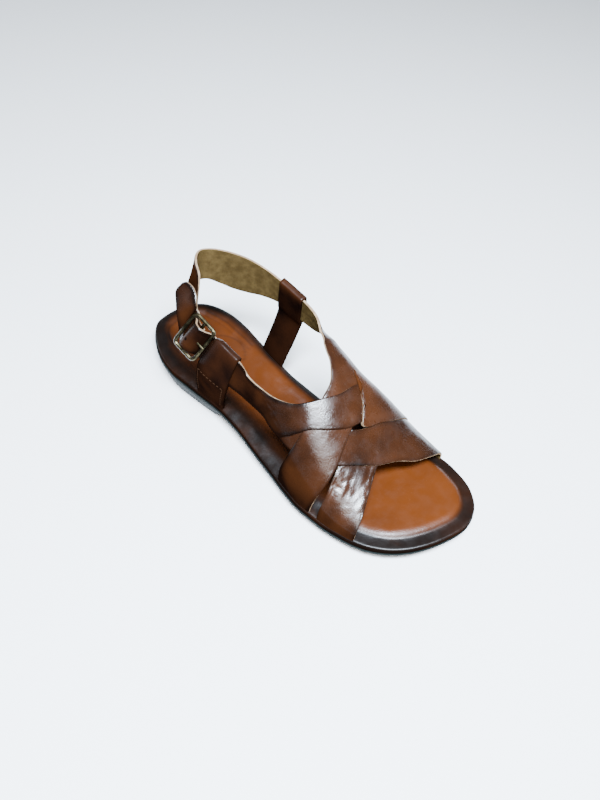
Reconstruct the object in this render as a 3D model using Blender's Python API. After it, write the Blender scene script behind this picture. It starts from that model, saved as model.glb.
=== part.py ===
"""Right-foot cross-strap sandal, built from its sole up. Lengths in metres, +Z up, toe to -Y."""
import math
from collections import namedtuple

import bmesh
import bpy
import numpy as np

# Named sizes.
SOLE_LENGTH = 0.298
BALL_WIDTH = 0.1075
HEEL_HEIGHT = 0.022
ANKLE_HEIGHT = 0.100
FOOTBED_EDGE = 0.005
LEATHER = 0.0020
LOOP_LEATHER = 0.0018
LAYER_STEP = 0.0015
GAP = 0.0003
STRAP_INSET = 0.0032
SOLE_TAPER = 0.0040
LUG_DEPTH = 0.0030
LUG_WIDTH = 0.0032
LUG_REACH = 0.0110
BUCKLE_LENGTH = 0.0200
BUCKLE_HEIGHT = 0.0290
BUCKLE_WIRE = 0.0014
BAR_RADIUS = 0.0012
PRONG_RADIUS = 0.00085

# Tables count along the sole in 298ths of its length, from -4 at the back of the heel to 294 at
# the tip of the toe, across in 107.5ths of the ball width, and up in 100ths of the ankle height
# or 22nds of the heel height.
HEEL_END = -4.0
TOE_END = 294.0
ALONG = SOLE_LENGTH / (TOE_END - HEEL_END)
ACROSS = BALL_WIDTH / 107.5
UP = ANKLE_HEIGHT / 100.0
SOLE_UP = HEEL_HEIGHT / 22.0

Outline = namedtuple("Outline", "along outer inner")
OUTLINE = [
    Outline(-4, 4, 4),
    Outline(-2.5, -8, 17),
    Outline(2, -15, 28.5),
    Outline(11, -22.5, 37),
    Outline(24, -30, 41.6),
    Outline(37, -34.8, 42.9),
    Outline(52, -37.4, 41.6),
    Outline(72, -37, 37.8),
    Outline(99, -35.7, 33),
    Outline(120, -37.6, 30.8),
    Outline(147, -43.2, 30.8),
    Outline(164, -46.6, 33.5),
    Outline(182, -50.8, 40),
    Outline(200, -53.6, 47.6),
    Outline(217, -53.4, 52),
    Outline(235, -51, 53.75),
    Outline(251, -46.6, 53),
    Outline(264, -39.3, 50),
    Outline(275, -29, 45.6),
    Outline(284, -15.6, 38.6),
    Outline(291, 0.5, 29),
    Outline(294, 15, 15),
]

# Heights of the leather rim and of the tread, in 22nds of the heel height.
Side = namedtuple("Side", "along rim tread")
SIDE = [
    Side(-4, 22, 1.4),
    Side(5, 22, 0),
    Side(30, 22, 0),
    Side(60, 21.6, 0),
    Side(92, 20, 0),
    Side(99, 19.4, 6),
    Side(120, 17.8, 5),
    Side(145, 15.6, 2.2),
    Side(165, 14.2, 0),
    Side(185, 13.4, 0),
    Side(210, 13.2, 0),
    Side(238, 13.4, 0),
    Side(260, 14.8, 1.8),
    Side(280, 17, 5),
    Side(294, 19, 8.4),
]

# Rise of the padded footbed above its rim, by distance in from the edge (thousandths of a metre).
Pad = namedtuple("Pad", "inset heel waist ball toe")
PAD = [
    Pad(0.0, -1.2, -1.2, -1.2, -1.2),
    Pad(1.4, 0.0, 0.0, 0.0, 0.0),
    Pad(5.0, 0.8, 1.4, 0.4, 0.1),
    Pad(8.5, 0.6, 2.2, 1.0, 0.5),
    Pad(11.5, -0.6, 1.8, 2.0, 2.4),
    Pad(15.0, -1.8, 0.6, 2.2, 3.4),
    Pad(21.0, -2.6, -0.4, 1.8, 3.6),
]

# The last: height of its top, its ridge and how far it stands past the sole on the inner side.
Last = namedtuple("Last", "along top ridge outer_out inner_out outer_power inner_power")
LAST = [
    Last(60, 116, 2, 0, 6, 2.3, 3.2),
    Last(90, 107, 3, 0, 9, 2.3, 3.2),
    Last(120, 98, 4, 0, 13, 2.3, 3.2),
    Last(140, 91, 6, 0, 12.5, 2.3, 2.9),
    Last(160, 83, 8, 0, 8, 2.3, 2.6),
    Last(183, 70, 10, 0, 0, 2.3, 2.75),
    Last(200, 57, 10, 0, 0, 2.3, 2.65),
    Last(215, 45, 10, 0, 0, 2.3, 2.6),
    Last(230, 36, 9, 0, 0, 2.3, 2.4),
    Last(245, 30, 9, 0, 0, 2.3, 2.3),
    Last(260, 26, 8, 0, 0, 2.3, 2.3),
]

# A strap row on the last: the angle round it (-90 outer sole edge, 90 inner sole edge, 100 the
# foot under the rim) and the place along the sole, for its two edges, then its lift in layers.
OnLast = namedtuple("OnLast", "a_angle a_along b_angle b_along lift")
# A strap row in the air: both edges by across, along and up.
InAir = namedtuple("InAir", "a_across a_along a_up b_across b_along b_up lift thick")
# A strap row in the buckle: forward of its bar, its two edges up the bar, depth, all in
# thousandths of a metre, and the share of the leather left by skiving.
InBuckle = namedtuple("InBuckle", "forward a_up b_up depth thick")

TOE_STRAP = [
    OnLast(-100, 214, -100, 243, 0),
    OnLast(-90, 214, -90, 243, 0),
    OnLast(-76, 214, -74, 242.5, 0),
    OnLast(-59, 213, -53, 240, 0),
    OnLast(-43, 210, -30, 233, 0.1),
    OnLast(-32, 207, -12, 225, 0.25),
    OnLast(-22, 203, 0, 218, 0.25),
    OnLast(-13, 199, 8, 212, 0.25),
]
FRONT_STRAP = [
    OnLast(100, 247, 100, 208, 0),
    OnLast(90, 247, 90, 208, 0),
    OnLast(76, 246.5, 76, 208, 0.5),
    OnLast(56, 246, 60, 208.5, 0.9),
    OnLast(34, 244, 42, 209.5, 1.1),
    OnLast(14, 239.5, 24, 210, 1.2),
    OnLast(1, 232, 10, 208, 1.2),
    OnLast(-12, 224, -5, 203.5, 1.1),
    OnLast(-24, 215.5, -16, 198, 1),
    OnLast(-35, 207.5, -27, 190, 1),
    OnLast(-47, 197, -37, 181, 1),
    OnLast(-56, 185, -43, 172, 0.95),
    OnLast(-61, 174, -47, 163, 0.8),
    OnLast(-62.5, 164, -50, 155, 0.7),
]
INNER_LEG = [
    OnLast(100, 214, 100, 180, 0.3),
    OnLast(90, 214, 90, 180, 0.3),
    OnLast(76, 214, 80, 178, 0.9),
    OnLast(60, 214, 71, 174, 1.6),
    OnLast(38, 213, 62, 168, 2.0),
    OnLast(20, 210.5, 55, 162, 2.3),
    OnLast(6, 207, 50, 157, 2.33),
    OnLast(-6, 201.5, 46, 153, 2.33),
    OnLast(-10, 190, 42, 146, 2.33),
]
# From the outer sole edge over the instep, through the inner loop and round the heel.
SLING_STRAP = [
    OnLast(-100, 173.3, -100, 207, 0),
    OnLast(-90, 173.5, -90, 207, 0.1),
    OnLast(-78, 175.5, -74, 208.5, 0.9),
    OnLast(-66, 178, -59, 209, 1.6),
    OnLast(-52, 179, -46, 208.5, 1.95),
    OnLast(-38, 178.5, -34, 206, 2),
    OnLast(-26, 176.5, -23, 202, 2),
    OnLast(-16, 174, -12, 197.5, 2),
    OnLast(-8, 171.5, -1, 191, 2),
    OnLast(-3, 167.5, 8, 182, 2),
    OnLast(2, 161, 24, 171, 2),
    OnLast(7, 154, 40, 160, 2),
    OnLast(13, 148, 50, 150, 2),
    InAir(24, 141, 89, 39, 138, 70, 0, 1),
    InAir(31, 131, 91, 38.5, 127, 69, 0, 1),
    InAir(34.5, 119, 92.5, 38.5, 116, 69.5, 0, 1),
    InAir(35.5, 106, 94.5, 38, 103, 71.5, 0, 1),
    InAir(35.5, 93, 97, 37.5, 91, 74, 0, 1),
    InAir(33.5, 78, 101, 35.5, 75, 72, 0, 1),
    InAir(28, 67, 106, 31, 64, 71, 0, 1),
    InAir(20, 57.5, 110.5, 24, 54.7, 73.5, 0, 1),
    InAir(11, 47.5, 113, 15, 50, 81, 0, 1),
    InAir(2.5, 43, 113.5, 4.5, 44.5, 88, 0, 1),
    InAir(-5.5, 49, 112.5, -8, 42, 87, 0, 1),
    InAir(-13.5, 61, 110, -20, 51.5, 84, 0, 1),
    InBuckle(-13.5, 14, -9, -7.0, 1.0),
    InBuckle(-9.5, 13, -9.5, -6.2, 0.95),
    InBuckle(-5.5, 10, -9.5, -4.2, 0.75),
    InBuckle(-2.4, 9.5, -9.5, -3.0, 0.6),
    InBuckle(0, 9.5, -9.5, -2.75, 0.6),
    InBuckle(1.95, 9.5, -9.5, -1.95, 0.6),
    InBuckle(2.75, 9.5, -9.5, 0, 0.6),
    InBuckle(1.95, 9.5, -9.5, 1.95, 0.6),
    InBuckle(0, 9.5, -9.5, 2.75, 0.6),
]
BUCKLED_STRAP = [
    OnLast(24, 188, 15, 207.5, 1.3),
    OnLast(17, 184.5, 7, 204, 1.3),
    OnLast(9, 182.5, -3, 200, 2),
    OnLast(1, 181, -9, 198.3, 3),
    OnLast(-8, 179.5, -16, 196, 3),
    OnLast(-17, 175.5, -27, 189.5, 3),
    OnLast(-27, 170.5, -38.5, 181, 2.8),
    OnLast(-36, 164, -53, 172.5, 1.9),
    OnLast(-42, 156, -61, 166, 1.5),
    OnLast(-46, 148, -62.5, 157, 1.25),
    OnLast(-49, 139, -62, 147.5, 0.9),
    OnLast(-51.5, 130, -64.5, 137, 0.7),
    OnLast(-52, 122, -67.5, 126, 0.6),
    InAir(-28.5, 116, 77, -36, 113.5, 56, 0, 1),
    InAir(-28.5, 106, 79.5, -37.5, 103, 58.5, 0, 1),
    InAir(-28.3, 96.5, 81.5, -38.5, 93, 61.5, 0, 1),
    InBuckle(15.0, 10.5, -10.5, -3.3, 1.0),
    InBuckle(10.0, 10.5, -10.5, -4.5, 1.0),
    InBuckle(6.4, 10.5, -10.5, -2.0, 1.0),
    InBuckle(3.2, 10.5, -10.5, 2.6, 1.0),
    InBuckle(0, 10.5, -10.5, 3.7, 1.0),
    InBuckle(-3.2, 10.5, -10.5, 2.6, 1.0),
    InBuckle(-6.4, 10.5, -10.5, -2.0, 1.0),
    InBuckle(-10.0, 10.3, -9.5, -4.5, 1.0),
    InBuckle(-13.2, 10.3, -7.0, -3.2, 1.0),
    InAir(-24, 67.5, 94, -34, 58, 86, 0, 1),
    InAir(-21, 65, 98.5, -30, 53.5, 92, 0, 1),
    InAir(-19, 61, 101.5, -26, 49, 96, 0, 1),
    InAir(-18.5, 57, 103.5, -23, 49, 99, 0, 1),
    InAir(-19, 53, 104, -20.5, 50.5, 102.5, 0, 1),
]

# Loops: rows of their strap at the front and rear edge, foot along the sole, leg leather shares.
Loop = namedtuple("Loop", "front rear foot_front foot_rear side")
OUTER_LOOP = Loop(13.1, 15.75, 103, 77, -1)
INNER_LOOP = Loop(15.3, 17.0, 104, 80, 1)

BUCKLE_CENTRE = (-34.0, 75.0, 75.5)
BUCKLE_FORWARD = (0.02, 0.935, -0.350)
BUCKLE_UP = (0.52, 0.24, 0.81)

STATIONS = 46


def material(name, colour, roughness, metallic):
    """A plain Principled material."""
    made = bpy.data.materials.new(name)
    made.use_nodes = True
    shader = made.node_tree.nodes["Principled BSDF"]
    shader.inputs["Base Color"].default_value = (*colour, 1.0)
    shader.inputs["Roughness"].default_value = roughness
    shader.inputs["Metallic"].default_value = metallic
    return made


def smooth_column(rows, column, at, scale=1.0):
    """Value of a table column by a cubic through its rows, level where the rows turn."""
    xs = np.array([row.along for row in rows], float)
    ys = np.array([getattr(row, column) for row in rows], float)
    return hermite(xs, ys, np.asarray(at, float)) * scale


def hermite(xs, ys, at):
    """Monotone cubic through the points (xs, ys), read at each value of at."""
    steps = np.diff(xs)
    slopes = np.diff(ys) / steps
    tangents = np.zeros(len(xs))
    tangents[0] = slopes[0]
    tangents[-1] = slopes[-1]
    for k in range(1, len(xs) - 1):
        if slopes[k - 1] * slopes[k] > 0:
            first = 2 * steps[k] + steps[k - 1]
            second = steps[k] + 2 * steps[k - 1]
            tangents[k] = (first + second) / (first / slopes[k - 1] + second / slopes[k])
    at = np.clip(at, xs[0], xs[-1])
    k = np.clip(np.searchsorted(xs, at, side="right") - 1, 0, len(xs) - 2)
    t = (at - xs[k]) / steps[k]
    start = ys[k] * (1 + 2 * t) * (1 - t) ** 2 + tangents[k] * steps[k] * t * (1 - t) ** 2
    end = ys[k + 1] * t * t * (3 - 2 * t) + tangents[k + 1] * steps[k] * t * t * (t - 1)
    return start + end


def turn(along):
    """Place along the sole as an angle share, so that both round ends are sampled finely."""
    share = (np.asarray(along, float) - HEEL_END) / (TOE_END - HEEL_END)
    return np.arccos(np.clip(1 - 2 * share, -1, 1)) / math.pi


def outline_across(along, side):
    """Across position of the sole edge, -1 the outer side and 1 the inner side."""
    column = "outer" if side < 0 else "inner"
    xs = turn([row.along for row in OUTLINE])
    ys = np.array([getattr(row, column) for row in OUTLINE], float)
    return hermite(xs, ys, turn(along)) * ACROSS


def station_list(count):
    """Places along the sole: closer at both round ends, with both ends of the heel step."""
    turns = np.linspace(0, math.pi, count)
    places = HEEL_END + (TOE_END - HEEL_END) * 0.5 * (1 - np.cos(turns))
    keep = [p for p in places if abs(p - 92) > 2.5 and abs(p - 99) > 2.5]
    return np.array(sorted(keep + [92.0, 99.0]))


def ring(inset, count=STATIONS):
    """Closed outline moved inwards: places up the outer side, then back down the inner side."""
    places = station_list(count)
    outer = np.stack([outline_across(places, -1), places * ALONG], 1)
    inner = np.stack([outline_across(places, 1), places * ALONG], 1)
    loop = np.vstack([outer, inner[-2:0:-1]])
    ahead = np.roll(loop, -1, axis=0) - loop
    behind = loop - np.roll(loop, 1, axis=0)
    ahead /= np.linalg.norm(ahead, axis=1)[:, None]
    behind /= np.linalg.norm(behind, axis=1)[:, None]
    tangent = ahead + behind
    tangent /= np.linalg.norm(tangent, axis=1)[:, None]
    inward = np.stack([tangent[:, 1], -tangent[:, 0]], 1)
    return loop + inward * inset


def to_world(across, along, up):
    """Across and along in metres become X and Y, with the middle of the sole at Y zero."""
    across, along, up = np.broadcast_arrays(across, along, up)
    middle = (HEEL_END + TOE_END) / 2 * ALONG
    return np.stack([across, middle - along, up], -1)


def rim_height(along):
    return smooth_column(SIDE, "rim", np.asarray(along) / ALONG, SOLE_UP)


def tread_height(along):
    return smooth_column(SIDE, "tread", np.asarray(along) / ALONG, SOLE_UP)


def pad_rise(inset, along):
    """Rise of the footbed above its rim at a distance in from the edge."""
    insets = np.array([row.inset for row in PAD]) * 0.001
    places = np.array([55.0, 130.0, 205.0, 262.0])
    columns = [hermite(insets, np.array([getattr(row, name) for row in PAD]), np.array(inset))
               for name in ("heel", "waist", "ball", "toe")]
    levels = np.array([float(column) for column in columns]) * 0.001
    return np.interp(np.asarray(along) / ALONG, places, levels)


def add_object(name, verts, faces, made):
    """Mesh object from points and faces, with its faces turned outwards."""
    mesh = bpy.data.meshes.new(name)
    mesh.from_pydata([tuple(float(c) for c in v) for v in verts], [], faces)
    mesh.materials.append(made)
    body = bmesh.new()
    body.from_mesh(mesh)
    bmesh.ops.recalc_face_normals(body, faces=body.faces)
    bmesh.ops.triangulate(body, faces=body.faces)
    body.to_mesh(mesh)
    body.free()
    thing = bpy.data.objects.new(name, mesh)
    bpy.context.collection.objects.link(thing)
    return thing


def ladder(first, count):
    """Faces between the two sides of a ring of points, rung by rung, from heel to toe."""
    faces = []
    half = count // 2
    for k in range(half):
        left, left_next = first + k, first + k + 1
        right, right_next = first + (count - k) % count, first + (count - k - 1) % count
        corners = []
        for corner in (left, left_next, right_next, right):
            if corner not in corners:
                corners.append(corner)
        faces.append(tuple(corners))
    return faces


def stacked_rings(rings):
    """Solid from rings of points stacked in order, closed by ladders at both ends."""
    count = len(rings[0])
    verts = np.vstack(rings)
    faces = []
    for level in range(len(rings) - 1):
        for k in range(count):
            ahead = (k + 1) % count
            low, high = level * count, (level + 1) * count
            faces.append((low + k, low + ahead, high + ahead, high + k))
    faces += ladder(0, count)
    faces += ladder((len(rings) - 1) * count, count)
    return verts, faces


def sole_ring(inset, height):
    """Ring at an inset, its height worked out from the place along the sole."""
    flat = ring(inset)
    along = ring(0)[:, 1]
    return to_world(flat[:, 0], flat[:, 1], height(along))


def make_outsole(made):
    """Rubber sole: level top ledge, tapered side, tread with heel step and toe spring."""
    def top(along):
        return rim_height(along) - FOOTBED_EDGE - GAP

    def side(share):
        return lambda along: tread_height(along) + (top(along) - tread_height(along)) * share

    rings = [
        sole_ring(SOLE_TAPER + 0.0012, tread_height),
        sole_ring(SOLE_TAPER, side(0.09)),
        sole_ring(SOLE_TAPER * 0.5, side(0.45)),
        sole_ring(0.0005, side(0.8)),
        sole_ring(0.0, side(0.86)),
        sole_ring(0.0, top),
    ]
    verts, faces = stacked_rings(rings)
    return add_object("outsole", verts, faces, made)


def make_footbed(made):
    """Leather-wrapped insole: rounded rim, padded top that follows the pad table."""
    def level(inset):
        return lambda along: rim_height(along) + pad_rise(inset, along)

    def bottom(along):
        return rim_height(along) - FOOTBED_EDGE

    edge = 0.0006
    rings = [
        sole_ring(edge + 0.0004, bottom),
        sole_ring(edge, lambda along: bottom(along) + 0.0006),
    ]
    for row in PAD:
        inset = row.inset * 0.001
        rings.append(sole_ring(edge + inset, level(inset)))
    verts, faces = stacked_rings(rings)
    return add_object("footbed", verts, faces, made)


def last_point(angle, along):
    """Point of the last round which the straps lie, in metres."""
    place = along * ALONG
    base = float(rim_height(place))
    side = -1 if angle < 0 else 1
    turned = math.radians(min(abs(angle), 90.0))
    ridge = float(smooth_column(LAST, "ridge", along, ACROSS))
    top = float(smooth_column(LAST, "top", along, UP))
    out = float(smooth_column(LAST, "outer_out" if side < 0 else "inner_out", along, ACROSS))
    power = float(smooth_column(LAST, "outer_power" if side < 0 else "inner_power", along))
    edge = float(outline_across(along, side)) - side * STRAP_INSET + side * out
    across = ridge + (edge - ridge) * math.sin(turned) ** (2 / power)
    height = base + (top - base) * max(math.cos(turned), 0.0) ** (2 / power)
    if abs(angle) > 90:
        foot = FOOTBED_EDGE
        height = base - foot * (abs(angle) - 90) / 10.0
    return to_world(across, place, height)


def unit(vector):
    vector = np.asarray(vector, float)
    return vector / np.linalg.norm(vector)


def buckle_frame():
    """Centre and axes of the buckle: forward, up along its bar, and out of the shoe."""
    across, along, up = BUCKLE_CENTRE
    centre = to_world(across * ACROSS, along * ALONG, up * UP)
    forward = unit((BUCKLE_FORWARD[0], -BUCKLE_FORWARD[1], BUCKLE_FORWARD[2]))
    raised = np.array((BUCKLE_UP[0], -BUCKLE_UP[1], BUCKLE_UP[2]))
    raised = unit(raised - forward * raised.dot(forward))
    out = np.cross(raised, forward)
    if out[0] > 0:
        out = -out
    return centre, forward, raised, out


def in_buckle(forward_mm, up_mm, out_mm):
    centre, forward, raised, out = buckle_frame()
    return centre + (forward * forward_mm + raised * up_mm + out * out_mm) * 0.001


def row_points(row, columns):
    """Base points of one strap row across its width, with its lift and thickness."""
    shares = np.linspace(0, 1, columns)
    if isinstance(row, OnLast):
        points = [last_point(row.a_angle + (row.b_angle - row.a_angle) * s,
                             row.a_along + (row.b_along - row.a_along) * s) for s in shares]
        return np.array(points), row.lift * LAYER_STEP, LEATHER
    if isinstance(row, InAir):
        first = to_world(row.a_across * ACROSS, row.a_along * ALONG, row.a_up * UP)
        last = to_world(row.b_across * ACROSS, row.b_along * ALONG, row.b_up * UP)
        points = [first + (last - first) * s for s in shares]
        return np.array(points), row.lift * LAYER_STEP, row.thick * LEATHER
    points = [in_buckle(row.forward, row.a_up + (row.b_up - row.a_up) * s, row.depth)
              for s in shares]
    return np.array(points), 0.0, row.thick * LEATHER


class Ribbon:
    """A strap: rows of points across it, joined by a cubic along it, with outward normals."""

    def __init__(self, rows, columns):
        parts = [row_points(row, columns) for row in rows]
        self.rows = np.array([part[0] for part in parts])
        self.lifts = np.array([part[1] for part in parts])
        self.thicks = np.array([part[2] for part in parts])
        middles = self.rows.mean(axis=1)
        lengths = np.linalg.norm(np.diff(middles, axis=0), axis=1)
        self.places = np.concatenate([[0.0], np.cumsum(lengths)])
        tangents = np.zeros_like(self.rows)
        for k in range(len(rows)):
            low, high = max(k - 1, 0), min(k + 1, len(rows) - 1)
            span = self.places[high] - self.places[low]
            tangents[k] = (self.rows[high] - self.rows[low]) / span
        self.tangents = tangents

    def place_of(self, row_number):
        return float(np.interp(row_number, np.arange(len(self.places)), self.places))

    def points(self, place):
        k = int(np.clip(np.searchsorted(self.places, place, side="right") - 1,
                        0, len(self.places) - 2))
        span = self.places[k + 1] - self.places[k]
        t = (place - self.places[k]) / span
        if t < 0 or t > 1:
            t = min(max(t, 0.0), 1.0)
        first = self.rows[k] * (1 + 2 * t) * (1 - t) ** 2
        first = first + self.tangents[k] * span * t * (1 - t) ** 2
        last = self.rows[k + 1] * t * t * (3 - 2 * t)
        return first + last + self.tangents[k + 1] * span * t * t * (t - 1)

    def normals(self, place):
        reach = 0.0004
        low = max(place - reach, 0.0)
        high = min(place + reach, self.places[-1])
        along = self.points(high) - self.points(low)
        points = self.points(place)
        across = np.gradient(points, axis=0)
        out = np.cross(along, across)
        return out / np.linalg.norm(out, axis=1)[:, None]

    def lift(self, place):
        return float(np.interp(place, self.places, self.lifts))

    def thick(self, place):
        return float(np.interp(place, self.places, self.thicks))


def strap_grid(ribbon, places, flip):
    """Inner and outer points of a strap at the places along it."""
    inner = []
    outer = []
    for place in places:
        points = ribbon.points(place)
        out = ribbon.normals(place) * flip
        inner.append(points + out * ribbon.lift(place))
        outer.append(points + out * (ribbon.lift(place) + ribbon.thick(place)))
    return np.array(inner), np.array(outer)


def solid_between(name, inner, outer, made):
    """Closed solid between two grids of points of the same shape."""
    rows, columns = inner.shape[:2]
    verts = np.vstack([inner.reshape(-1, 3), outer.reshape(-1, 3)])
    shift = rows * columns
    faces = []
    for i in range(rows - 1):
        for j in range(columns - 1):
            a = i * columns + j
            faces.append((a, a + columns, a + columns + 1, a + 1))
            faces.append((a + shift, a + 1 + shift, a + columns + 1 + shift, a + columns + shift))
    for i in range(rows - 1):
        a = i * columns
        faces.append((a, a + shift, a + columns + shift, a + columns))
        b = a + columns - 1
        faces.append((b, b + columns, b + columns + shift, b + shift))
    for j in range(columns - 1):
        faces.append((j, j + 1, j + 1 + shift, j + shift))
        c = (rows - 1) * columns + j
        faces.append((c, c + shift, c + 1 + shift, c + 1))
    return add_object(name, verts, faces, made)


def make_strap(name, rows, columns, spacing, flip, made):
    """Strap solid with stations about every spacing metres and one at each row."""
    ribbon = Ribbon(rows, columns)
    places = []
    for k in range(len(rows) - 1):
        span = ribbon.places[k + 1] - ribbon.places[k]
        parts = max(1, int(round(span / spacing)))
        for part in range(parts):
            places.append(ribbon.places[k] + span * part / parts)
    places.append(ribbon.places[-1])
    inner, outer = strap_grid(ribbon, places, flip)
    return solid_between(name, inner, outer, made)


def hide_tool(tool):
    tool.hide_render = True
    tool.display_type = "WIRE"


def boolean(target, tool, operation):
    """Exact Boolean modifier whose tool stays hidden."""
    step = target.modifiers.new(operation.lower() + "_" + tool.name, "BOOLEAN")
    step.operation = operation
    step.solver = "EXACT"
    step.use_self = operation == "UNION"
    step.object = tool
    hide_tool(tool)


def strap_section(ribbon, row_number, flip):
    """Edges, width, up and outward directions of a strap at a row number."""
    place = ribbon.place_of(row_number)
    points = ribbon.points(place)
    out = unit(ribbon.normals(place).mean(axis=0) * flip)
    base = out * ribbon.lift(place)
    upper = points[0] + base
    lower = points[-1] + base
    raised = unit(upper - lower)
    out = unit(out - raised * out.dot(raised))
    return lower, np.linalg.norm(upper - lower), raised, out


def make_loop(name, ribbon, loop, flip, made):
    """Folded loop: a head round its strap, a seam under it and a leg down to the sole."""
    clear = GAP + 0.0003
    wall = LOOP_LEATHER
    bulk = LEATHER
    polygons = []
    stations = 8
    inner_set = 0.0034
    outer_set = 0.0008
    stand = 0.0015
    seam_drop = 0.0050
    swell = 0.0012
    for k in range(stations):
        share = k / (stations - 1)
        row_number = loop.front + (loop.rear - loop.front) * share
        lower, width, raised, out = strap_section(ribbon, row_number, flip)
        foot_along = loop.foot_front + (loop.foot_rear - loop.foot_front) * share
        place = foot_along * ALONG
        rim = float(rim_height(place))
        edge = float(outline_across(foot_along, loop.side))
        foot_up = rim - FOOTBED_EDGE
        side = loop.side
        foot_in = to_world(edge - side * inner_set, place, foot_up)
        foot_out = to_world(edge - side * outer_set, place, foot_up)
        rim_in = to_world(edge - side * inner_set, place, rim + stand)
        rim_out = to_world(edge - side * outer_set, place, rim + stand)

        def at(up, outward):
            return lower + raised * up + out * outward

        head = bulk + clear + wall
        middle = bulk / 2
        leg = wall * 0.95
        seam_in = at(-seam_drop, middle - leg)
        seam_out = at(-seam_drop, middle + leg)
        bend_in = seam_in * 0.55 + rim_in * 0.45 + out * swell
        bend_out = seam_out * 0.55 + rim_out * 0.45 + out * swell
        polygons.append([
            foot_in,
            rim_in,
            bend_in,
            seam_in,
            at(-clear - wall * 0.6, -clear - wall),
            at(width + clear, -clear - wall),
            at(width + clear + wall * 0.75, -clear - wall * 0.4),
            at(width + clear + wall, middle),
            at(width + clear + wall * 0.75, head - wall * 0.6),
            at(width + clear, head),
            at(-clear - wall * 0.6, head),
            seam_out,
            bend_out,
            rim_out,
            foot_out,
        ])
    polygons = np.array(polygons)
    count = polygons.shape[1]
    verts = polygons.reshape(-1, 3)
    faces = []
    for k in range(stations - 1):
        for j in range(count):
            ahead = (j + 1) % count
            faces.append((k * count + j, k * count + ahead,
                          (k + 1) * count + ahead, (k + 1) * count + j))
    half = count // 2
    for k in (0, stations - 1):
        start = k * count
        for j in range(half):
            corners = (start + j, start + j + 1, start + count - 2 - j, start + count - 1 - j)
            kept = []
            for corner in corners:
                if corner not in kept:
                    kept.append(corner)
            if len(kept) > 2:
                faces.append(tuple(kept))
    body = add_object(name, verts, faces, made)

    first = loop.front - 0.45
    last = loop.rear + 0.45
    inner = []
    outer = []
    for k in range(stations + 4):
        row_number = first + (last - first) * k / (stations + 3)
        lower, width, raised, out = strap_section(ribbon, row_number, flip)
        ends = [lower - raised * clear, lower + raised * (width + clear)]
        inner.append([end - out * clear for end in ends])
        outer.append([end + out * (bulk + clear) for end in ends])
    slot = solid_between(name + "_slot", np.array(inner), np.array(outer), made)
    boolean(body, slot, "DIFFERENCE")
    return body


def swept_tube(points, radius, sides, closed, ahead_up):
    """Points and faces of a round wire along a path lying in the plane of forward and up."""
    points = np.array(points)
    count = len(points)
    verts = []
    for k in range(count):
        if closed:
            tangent = points[(k + 1) % count] - points[k - 1]
        else:
            tangent = points[min(k + 1, count - 1)] - points[max(k - 1, 0)]
        tangent = unit(tangent)
        first = unit(np.cross(tangent, ahead_up))
        second = np.cross(tangent, first)
        if closed:
            before = unit(points[k] - points[k - 1])
            spread = 1.0 / max(abs(before.dot(tangent)), 0.5)
        else:
            spread = 1.0
        for s in range(sides):
            angle = 2 * math.pi * (s + 0.5) / sides
            verts.append(points[k] + first * math.cos(angle) * radius * spread
                         + second * math.sin(angle) * radius)
    faces = []
    spans = count if closed else count - 1
    for k in range(spans):
        for s in range(sides):
            a = k * sides + s
            b = k * sides + (s + 1) % sides
            c = ((k + 1) % count) * sides + (s + 1) % sides
            d = ((k + 1) % count) * sides + s
            faces.append((a, b, c, d))
    if not closed:
        faces.append(tuple(range(sides)))
        faces.append(tuple((count - 1) * sides + s for s in range(sides)))
    return np.array(verts), faces


def make_buckle(made):
    """Cast frame with rounded corners and a centre bar."""
    out = buckle_frame()[3]
    half_long = BUCKLE_LENGTH * 500
    half_high = BUCKLE_HEIGHT * 500
    corner = 3.0
    path = []
    for mark_u, mark_v, start in ((1, 1, 0), (-1, 1, 90), (-1, -1, 180), (1, -1, 270)):
        for step in range(4):
            angle = math.radians(start + step * 30)
            path.append(in_buckle(mark_u * (half_long - corner) + corner * math.cos(angle),
                                  mark_v * (half_high - corner) + corner * math.sin(angle), 0))
    verts, faces = swept_tube(path, BUCKLE_WIRE, 8, True, out)
    frame = add_object("buckle", verts, faces, made)
    bar_path = [in_buckle(0, -half_high, 0), in_buckle(0, half_high, 0)]
    verts, faces = swept_tube(bar_path, BAR_RADIUS, 12, False, out)
    bar = add_object("centre_bar", verts, faces, made)
    boolean(frame, bar, "UNION")
    return frame


def make_prong(made):
    """Wire hooked round the centre bar, its arm lying over the front bar."""
    raised = buckle_frame()[2]
    hook = (BAR_RADIUS + GAP + PRONG_RADIUS) * 1000 + 0.05
    path = []
    for step in range(11):
        angle = math.radians(-60 - step * 21)
        path.append(in_buckle(hook * math.cos(angle), 0, hook * math.sin(angle)))
    front = BUCKLE_LENGTH * 500
    rest = (BUCKLE_WIRE + GAP + PRONG_RADIUS) * 1000 + 0.1
    path.append(in_buckle(0.6, 0, hook + 0.08))
    path.append(in_buckle(4.5, 0, max(hook, rest)))
    path.append(in_buckle(front, 0, rest))
    path.append(in_buckle(front + 1.4, 0, rest - 0.1))
    verts, faces = swept_tube(path, PRONG_RADIUS, 8, False, raised)
    return add_object("prong", verts, faces, made)


def block(name, centre, axes, sizes, made):
    """Box solid by its centre, three directions and three lengths."""
    verts = []
    for a in (-0.5, 0.5):
        for b in (-0.5, 0.5):
            for c in (-0.5, 0.5):
                verts.append(centre + axes[0] * sizes[0] * a + axes[1] * sizes[1] * b
                             + axes[2] * sizes[2] * c)
    faces = [(0, 1, 3, 2), (4, 6, 7, 5), (0, 4, 5, 1), (2, 3, 7, 6), (0, 2, 6, 4), (1, 5, 7, 3)]
    return add_object(name, verts, faces, made)


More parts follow.
